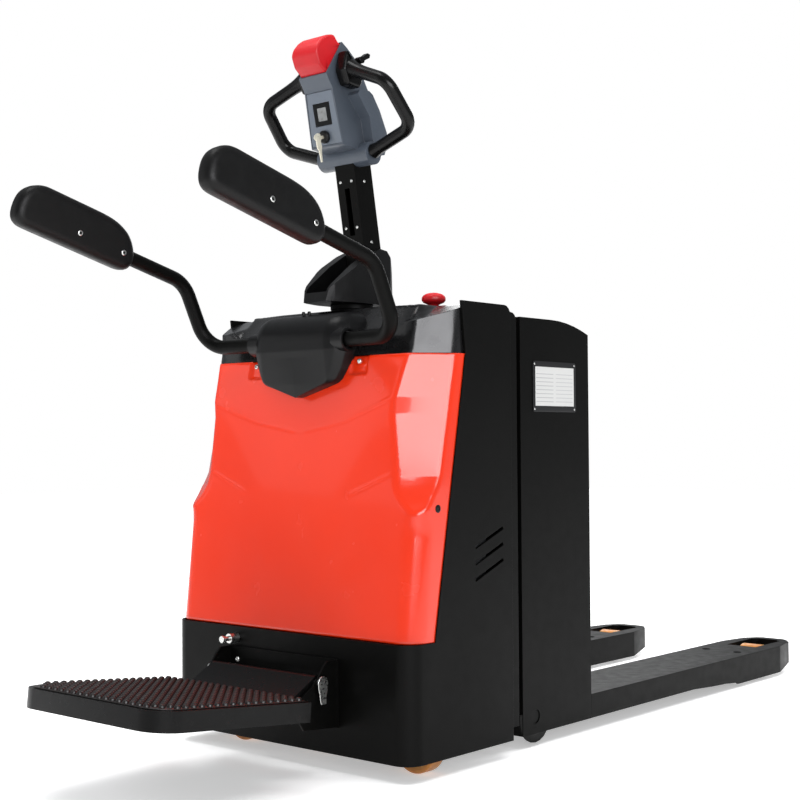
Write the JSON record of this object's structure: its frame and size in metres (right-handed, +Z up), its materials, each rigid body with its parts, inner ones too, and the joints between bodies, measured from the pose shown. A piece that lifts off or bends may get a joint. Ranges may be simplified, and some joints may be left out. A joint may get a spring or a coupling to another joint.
{
  "type": "electric pallet truck",
  "caption": "Ride-on electric pallet truck with battery box, twin forks, tiller head, folding platform and side guard arms.",
  "frame": {"origin": "on the floor, below the centre of the overall length and width", "axes": "+X towards the fork tips, +Y to the left of an operator who faces the forks, +Z up"},
  "size_m": [2.3896, 0.736, 1.6316],
  "materials": {
    "black_steel": "satin powder coat",
    "black_plastic": "satin moulded",
    "red_plastic": "gloss moulded",
    "button_red": "gloss moulded",
    "slate_plastic": "satin moulded",
    "rubber": "ribbed",
    "amber_tyre": "cast polyurethane",
    "zinc": "zinc plated",
    "cast_iron": "raw casting",
    "screen": "dark glass",
    "label": "printed foil",
    "key_metal": "nickel plated",
    "battery_case": "moulded"
  },
  "bodies": {
    "chassis": {"chassis_frame": "black_steel", "rear_frame": "black_steel", "front_cover": "red_plastic", "top_cover": "black_plastic", "cross_beam": "black_steel", "arm_housing": "black_plastic", "slewing_ring": "cast_iron", "stop_switch": "black_plastic", "platform_bracket": "black_steel", "platform_pin": "zinc", "latch_body": "zinc", "motor_controller": "battery_case", "hydraulic_tank": "battery_case", "pump_motor": "cast_iron", "lift_cylinder": "black_steel"},
    "carriage": {"battery_box": "black_steel", "battery_lid": "black_steel", "battery": "battery_case", "data_plate": "label", "lift_bracket": "black_steel", "lift_ram": "zinc", "fork_left": "black_steel", "fork_right": "black_steel"},
    "lift_link": {"lift_link": "black_steel"},
    "roller_arm_left": {"roller_arm_left": "black_steel"},
    "roller_arm_right": {"roller_arm_right": "black_steel"},
    "load_roller_left": {"load_roller_left": "amber_tyre"},
    "load_roller_right": {"load_roller_right": "amber_tyre"},
    "pull_bar_left": {"pull_bar_left": "cast_iron"},
    "pull_bar_right": {"pull_bar_right": "cast_iron"},
    "steering": {"gearbox": "cast_iron", "drive_motor": "cast_iron", "steering_post": "black_steel", "steering_head": "black_plastic"},
    "drive_wheel": {"drive_hub": "cast_iron", "drive_tyre": "amber_tyre"},
    "tiller": {"tiller_pin": "zinc", "tiller_arm": "black_steel", "head_shell": "slate_plastic", "head_fascia": "slate_plastic", "display": "screen", "key_switch": "black_plastic", "handle_left": "black_plastic", "handle_right": "black_plastic"},
    "key": {"key": "key_metal"},
    "reversing_button": {"reversing_button": "button_red"},
    "thumb_lever_left": {"thumb_lever_left": "black_plastic"},
    "thumb_lever_right": {"thumb_lever_right": "black_plastic"},
    "stop_button": {"stop_button": "button_red"},
    "castor_left": {"castor_fork_left": "zinc"},
    "castor_right": {"castor_fork_right": "zinc"},
    "castor_wheel_left": {"castor_wheel_left": "amber_tyre"},
    "castor_wheel_right": {"castor_wheel_right": "amber_tyre"},
    "platform": {"platform_deck": "black_steel", "platform_mat": "rubber"},
    "latch_pin": {"latch_pin": "zinc"},
    "arm_left": {"arm_tube_left": "black_steel", "arm_pad_left": "black_plastic"},
    "arm_right": {"arm_tube_right": "black_steel", "arm_pad_right": "black_plastic"}
  },
  "joints": [
    {"name": "lift", "type": "slide", "parent": "chassis", "child": "carriage", "axis": [0, 0, 1], "range_m": [0, 0.12]},
    {"name": "lift_link_turn", "type": "hinge", "parent": "carriage", "child": "lift_link", "pos_m": [-0.18623, 0, 0.0685], "axis": [0, -1, 0], "range_deg": [0, 33.2]},
    {"name": "roller_arm_left_swing", "type": "hinge", "parent": "carriage", "child": "roller_arm_left", "pos_m": [0.84477, 0.25, 0.052], "axis": [0, 1, 0], "range_deg": [0, 33.2]},
    {"name": "load_roller_left_spin", "type": "hinge", "parent": "roller_arm_left", "child": "load_roller_left", "pos_m": [1.06477, 0.25, 0.042], "axis": [0, 1, 0], "continuous": true},
    {"name": "pull_bar_left_slide", "type": "slide", "parent": "carriage", "child": "pull_bar_left", "axis": [-1, 0, 0], "range_m": [0, 0.0112]},
    {"name": "castor_left_swivel", "type": "hinge", "parent": "chassis", "child": "castor_left", "pos_m": [-0.54723, 0.265, 0.13], "axis": [0, 0, 1], "continuous": true},
    {"name": "castor_wheel_left_spin", "type": "hinge", "parent": "castor_left", "child": "castor_wheel_left", "pos_m": [-0.54723, 0.231, 0.055], "axis": [1, 0, 0], "continuous": true},
    {"name": "arm_left_fold", "type": "hinge", "parent": "chassis", "child": "arm_left", "pos_m": [-0.60023, 0.15, 0.925], "axis": [0, -1, 0], "range_deg": [0, 95]},
    {"name": "thumb_lever_left_press", "type": "hinge", "parent": "tiller", "child": "thumb_lever_left", "pos_m": [-0.49231, 0.086, 1.57053], "axis": [0, 1, 0], "range_deg": [-20, 20], "stiffness_Nm_per_rad": 0.6},
    {"name": "roller_arm_right_swing", "type": "hinge", "parent": "carriage", "child": "roller_arm_right", "pos_m": [0.84477, -0.25, 0.052], "axis": [0, 1, 0], "range_deg": [0, 33.2]},
    {"name": "load_roller_right_spin", "type": "hinge", "parent": "roller_arm_right", "child": "load_roller_right", "pos_m": [1.06477, -0.25, 0.042], "axis": [0, 1, 0], "continuous": true},
    {"name": "pull_bar_right_slide", "type": "slide", "parent": "carriage", "child": "pull_bar_right", "axis": [-1, 0, 0], "range_m": [0, 0.0112]},
    {"name": "castor_right_swivel", "type": "hinge", "parent": "chassis", "child": "castor_right", "pos_m": [-0.54723, -0.265, 0.13], "axis": [0, 0, 1], "continuous": true},
    {"name": "castor_wheel_right_spin", "type": "hinge", "parent": "castor_right", "child": "castor_wheel_right", "pos_m": [-0.54723, -0.299, 0.055], "axis": [1, 0, 0], "continuous": true},
    {"name": "arm_right_fold", "type": "hinge", "parent": "chassis", "child": "arm_right", "pos_m": [-0.60023, -0.15, 0.925], "axis": [0, -1, 0], "range_deg": [0, 95]},
    {"name": "thumb_lever_right_press", "type": "hinge", "parent": "tiller", "child": "thumb_lever_right", "pos_m": [-0.49231, -0.086, 1.57053], "axis": [0, 1, 0], "range_deg": [-20, 20], "stiffness_Nm_per_rad": 0.6},
    {"name": "steer", "type": "hinge", "parent": "chassis", "child": "steering", "pos_m": [-0.43023, 0, 0.3], "axis": [0, 0, 1], "range_deg": [-90, 90]},
    {"name": "drive_wheel_spin", "type": "hinge", "parent": "steering", "child": "drive_wheel", "pos_m": [-0.43023, 0, 0.11], "axis": [0, 1, 0], "continuous": true},
    {"name": "tiller_tilt", "type": "hinge", "parent": "steering", "child": "tiller", "pos_m": [-0.37773, 0, 1.082], "axis": [0, -1, 0], "range_deg": [0, 55], "stiffness_Nm_per_rad": 24, "springref_deg": -34.38},
    {"name": "key_turn", "type": "hinge", "parent": "tiller", "child": "key", "pos_m": [-0.51587, 0, 1.40387], "axis": [0.9749, 0, 0.2226], "range_deg": [0, 60]},
    {"name": "reversing_button_push", "type": "slide", "parent": "tiller", "child": "reversing_button", "axis": [0.8455, 0, -0.534], "range_m": [0, 0.006], "stiffness_N_per_m": 400, "springref_m": -0.02},
    {"name": "stop_button_push", "type": "slide", "parent": "chassis", "child": "stop_button", "axis": [0, 0, -1], "range_m": [0, 0.005], "stiffness_N_per_m": 400, "springref_m": -0.01},
    {"name": "platform_fold", "type": "hinge", "parent": "chassis", "child": "platform", "pos_m": [-0.71723, 0, 0.197], "axis": [0, 1, 0], "range_deg": [0, 84.5]},
    {"name": "latch_pin_pull", "type": "slide", "parent": "chassis", "child": "latch_pin", "axis": [-1, 0, 0], "range_m": [0, 0.008], "stiffness_N_per_m": 200, "springref_m": -0.01}
  ],
  "couplings": [
    {"joint": "lift_link_turn", "follows": "lift", "rad_per_m": 4.7706},
    {"joint": "roller_arm_left_swing", "follows": "lift", "rad_per_m": 4.7706},
    {"joint": "roller_arm_right_swing", "follows": "lift", "rad_per_m": 4.7706},
    {"joint": "pull_bar_left_slide", "follows": "lift", "ratio": 0.09028},
    {"joint": "pull_bar_right_slide", "follows": "lift", "ratio": 0.09028}
  ]
}
